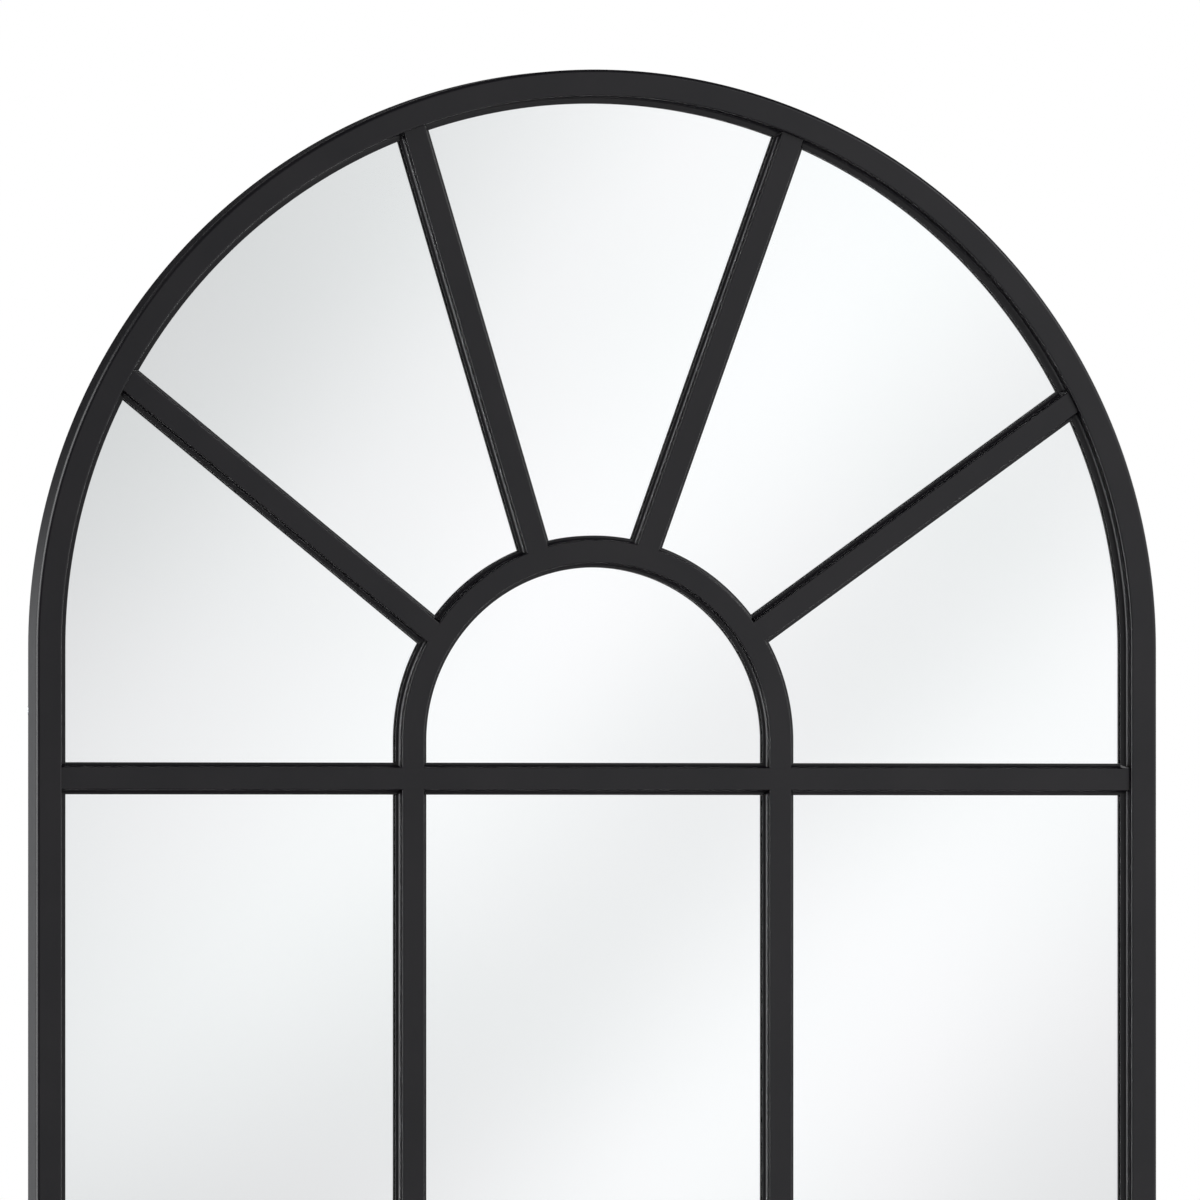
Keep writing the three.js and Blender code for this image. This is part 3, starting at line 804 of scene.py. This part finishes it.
def sheet_of_light(name):
    """A self-lit material with its tree and its Object coordinates."""
    made = bpy.data.materials.new(name)
    made.use_nodes = True
    tree = made.node_tree
    tree.nodes.clear()
    return made, tree, add(tree, "ShaderNodeTexCoord").outputs["Object"]


def give_light(tree, colour, strength):
    light = add(tree, "ShaderNodeEmission", {"Color": colour, "Strength": strength})
    add(tree, "ShaderNodeOutputMaterial", {"Surface": light.outputs[0]})


def dimmer(tree, spot, centre, reach, depth, core=0.0):
    """One factor that falls by depth within the core and is 1 beyond the reach, all in metres."""
    away = add(tree, "ShaderNodeVectorMath", {0: spot, 1: centre}, operation="DISTANCE")
    settings = {"Value": away.outputs["Value"], "From Min": core, "From Max": reach, "To Min": 1.0 - depth}
    return add(tree, "ShaderNodeMapRange", settings, interpolation_type="SMOOTHSTEP").outputs["Result"]


def soft_shade(name, centre, reach, core):
    """Darkness round a point, which clears towards its reach."""
    made, tree, spot = sheet_of_light(name)
    clear = dimmer(tree, spot, centre, reach, 1.0, core)
    shade = add(tree, "ShaderNodeEmission", {"Color": SHADE})
    nothing = add(tree, "ShaderNodeBsdfTransparent")
    mixed = add(tree, "ShaderNodeMixShader", {0: clear, 1: shade.outputs[0], 2: nothing.outputs[0]})
    add(tree, "ShaderNodeOutputMaterial", {"Surface": mixed.outputs[0]})
    return made


def sight_lines(tree):
    """Two factors: 1 where the mirror itself shows the sheet, and 1 where a bar sees it in the mirror."""
    path = add(tree, "ShaderNodeLightPath")
    depth, through = path.outputs["Glossy Depth"], path.outputs["Is Transmission Ray"]
    first = add(tree, "ShaderNodeMath", {0: depth, 1: 1.5}, operation="LESS_THAN").outputs[0]
    second = add(tree, "ShaderNodeMath", {0: depth, 1: 2.0, 2: 0.5}, operation="COMPARE").outputs[0]
    return [
        add(tree, "ShaderNodeMath", {0: count, 1: through}, operation="MULTIPLY").outputs[0]
        for count in (first, second)
    ]


def lit_paper():
    """The paper that the mirror sees: soft slanting bands from pale grey to white, dimmer to the left."""
    made, tree, spot = sheet_of_light("lit_paper")
    lean = add(tree, "ShaderNodeVectorMath", {0: spot, 1: (0.714, 0.0, -0.70)}, operation="DOT_PRODUCT")
    wander = add(tree, "ShaderNodeTexNoise", {"Vector": spot, "Scale": 1.8, "Detail": 1.0})
    bent = add(
        tree,
        "ShaderNodeMath",
        {0: wander.outputs["Fac"], 1: 0.05, 2: lean.outputs["Value"]},
        operation="MULTIPLY_ADD",
    )
    span = {"Value": bent.outputs[0], "From Min": -0.475, "From Max": 1.025}
    along = add(tree, "ShaderNodeMapRange", span).outputs["Result"]
    stops = ((0.107, 0.91), (0.247, 0.98), (0.36, 1.0), (0.54, 0.86), (0.68, 0.97), (0.92, 0.77))
    tones = [(at, (level, level * 1.004, level * 1.008, 1.0)) for at, level in stops]
    shade = ramp(tree, along, tones, "EASE").outputs["Color"]
    through = add(tree, "ShaderNodeLightPath").outputs["Is Transmission Ray"]
    on_bars = dimmer(tree, spot, (0.9, PAPER_Y, 2.1), 1.3, 0.85)
    factors = [
        dimmer(tree, spot, (0.45, PAPER_Y, 0.40), 1.4, 0.42),
        dimmer(tree, spot, (0.60, PAPER_Y, 1.99), 1.18, 0.46),
        add(tree, "ShaderNodeMix", {0: through, 2: on_bars, 3: 1.0}, data_type="FLOAT").outputs[0],
    ]
    for factor in factors:
        shade = add(tree, "ShaderNodeVectorMath", {0: shade, "Scale": factor}, operation="SCALE").outputs[0]
    _, from_a_bar = sight_lines(tree)
    levels = {"Value": from_a_bar, "To Min": PAPER_LEVEL, "To Max": PAPER_LEVEL_ON_WALLS}
    level = add(tree, "ShaderNodeMapRange", levels)
    give_light(tree, shade, level.outputs["Result"])
    return made


def studio_wall(name, low, high, strength, fade=None):
    """A wall of the studio that the bars see as it is, and the mirror itself as pale paper.

    Its tone is cloudy between low and high, or goes from low to high between the two heights in fade.
    """
    made, tree, spot = sheet_of_light(name)
    if fade:
        height = add(tree, "ShaderNodeSeparateXYZ", {0: spot}).outputs["Z"]
        rise = {"Value": height, "From Min": fade[0], "From Max": fade[1]}
        factor = add(tree, "ShaderNodeMapRange", rise, interpolation_type="SMOOTHSTEP").outputs["Result"]
        stops = (0.0, 1.0)
    else:
        factor = add(tree, "ShaderNodeTexNoise", {"Vector": spot, "Scale": 1.2, "Detail": 1.0}).outputs["Fac"]
        stops = (0.3, 0.7)
    tone = ramp(tree, factor, [(stops[0], linear(low)), (stops[1], linear(high))]).outputs["Color"]
    in_the_mirror, _ = sight_lines(tree)
    shown = add(tree, "ShaderNodeMix", {0: in_the_mirror, 6: tone, 7: PAPER_WHITE}, data_type="RGBA")
    level = add(tree, "ShaderNodeMapRange", {"Value": in_the_mirror, "To Min": strength, "To Max": 1.0})
    give_light(tree, shown.outputs[2], level.outputs["Result"])
    return made


def lamp(name, location, target, size, power):
    data = bpy.data.lights.new(name, "AREA")
    data.shape = "RECTANGLE"
    data.size, data.size_y = size
    data.energy = power
    made = bpy.data.objects.new(name, data)
    made.location = location
    made.rotation_euler = (Vector(target) - Vector(location)).to_track_quat("-Z", "Y").to_euler()
    made.visible_transmission = False
    bpy.context.scene.collection.objects.link(made)
    return made


def floor():
    made, tree, shader, spot = material("pale_floor")
    tone = ramp(tree, noise(tree, spot, 900, 2), [(0.3, linear("#eeeeed")), (0.7, linear("#f2f2f1"))])
    tree.links.new(tone.outputs["Color"], shader.inputs["Base Color"])
    shader.inputs["Roughness"].default_value = 0.8
    bm = bmesh.new()
    bm.faces.new([bm.verts.new(c) for c in ((-4, -4, 0), (4, -4, 0), (4, 4, 0), (-4, 4, 0))])
    finish_mesh(bm, "studio_floor", made)


backdrop()
floor()
glow("lit_paper_panel", (-0.5, PAPER_Y, 0.02), (5.1, 0, 0), (0, 0, 3.38), lit_paper(), lights=True)
dark = studio_wall("dark_room", "#1c1c1e", "#2c2c2e", 1.0)
bright = studio_wall("softbox", "#f0f1f3", "#ffffff", SOFTBOX_LEVEL)
grey = studio_wall("grey_room", "#bcbdbf", "#2c2c2e", 1.0, fade=(1.4, 2.3))
glow("dark_card_front", (-2.3, -5.6, 0.02), (2.5, 0, 0), (0, 0, 3.58), dark)
glow("dark_card_left", (-4.7, -3.3, 0.02), (2.4, -2.3, 0), (0, 0, 3.58), dark)
glow("bright_card_left", (-3.0, 0.8, 0.02), (0, -2.2, 0), (0, 0, 3.38), bright)
glow("grey_card_back", (-3.4, 4.5, 0.02), (4.8, 0, 0), (0, 0, 4.58), grey)
glow("dark_card_above", (-3.5, -5.5, 3.65), (7.0, 0, 0), (0, 7.5, 0), dark, mirrored=False)
below = soft_shade("dark_floor", (-0.2, -1.5, 0.001), 1.6, 0.8)
glow("dark_card_below", (-2.0, -3.2, 0.001), (3.6, 0, 0), (0, 3.1, 0), below, mirrored=False)
lamp("key_softbox", (2.6, -3.2, 3.4), (0, 0, 0.9), (1.6, 1.6), 40)

# ---- Camera --------------------------------------------------------------------------------------

AZIMUTH, ELEVATION, DISTANCE = -14.4, -0.54, 30.0
TARGET = Vector((1.02, FACE_Y, SPRING + 37.1)) * MM
PIXELS_PER_MM, PIXELS = 1.2853, 1200


def camera():
    turn, tilt = math.radians(AZIMUTH), math.radians(ELEVATION)
    back = Vector((math.sin(turn) * math.cos(tilt), -math.cos(turn) * math.cos(tilt), math.sin(tilt)))
    data = bpy.data.cameras.new("camera")
    data.sensor_width = 36.0
    data.lens = 36.0 * PIXELS_PER_MM / MM * DISTANCE / PIXELS
    data.clip_start, data.clip_end = 1.0, 100.0
    made = bpy.data.objects.new("camera", data)
    made.location = TARGET + back * DISTANCE
    made.rotation_euler = (-back).to_track_quat("-Z", "Y").to_euler()
    bpy.context.scene.collection.objects.link(made)
    bpy.context.scene.camera = made


camera()
bpy.context.scene.view_settings.view_transform = "Standard"
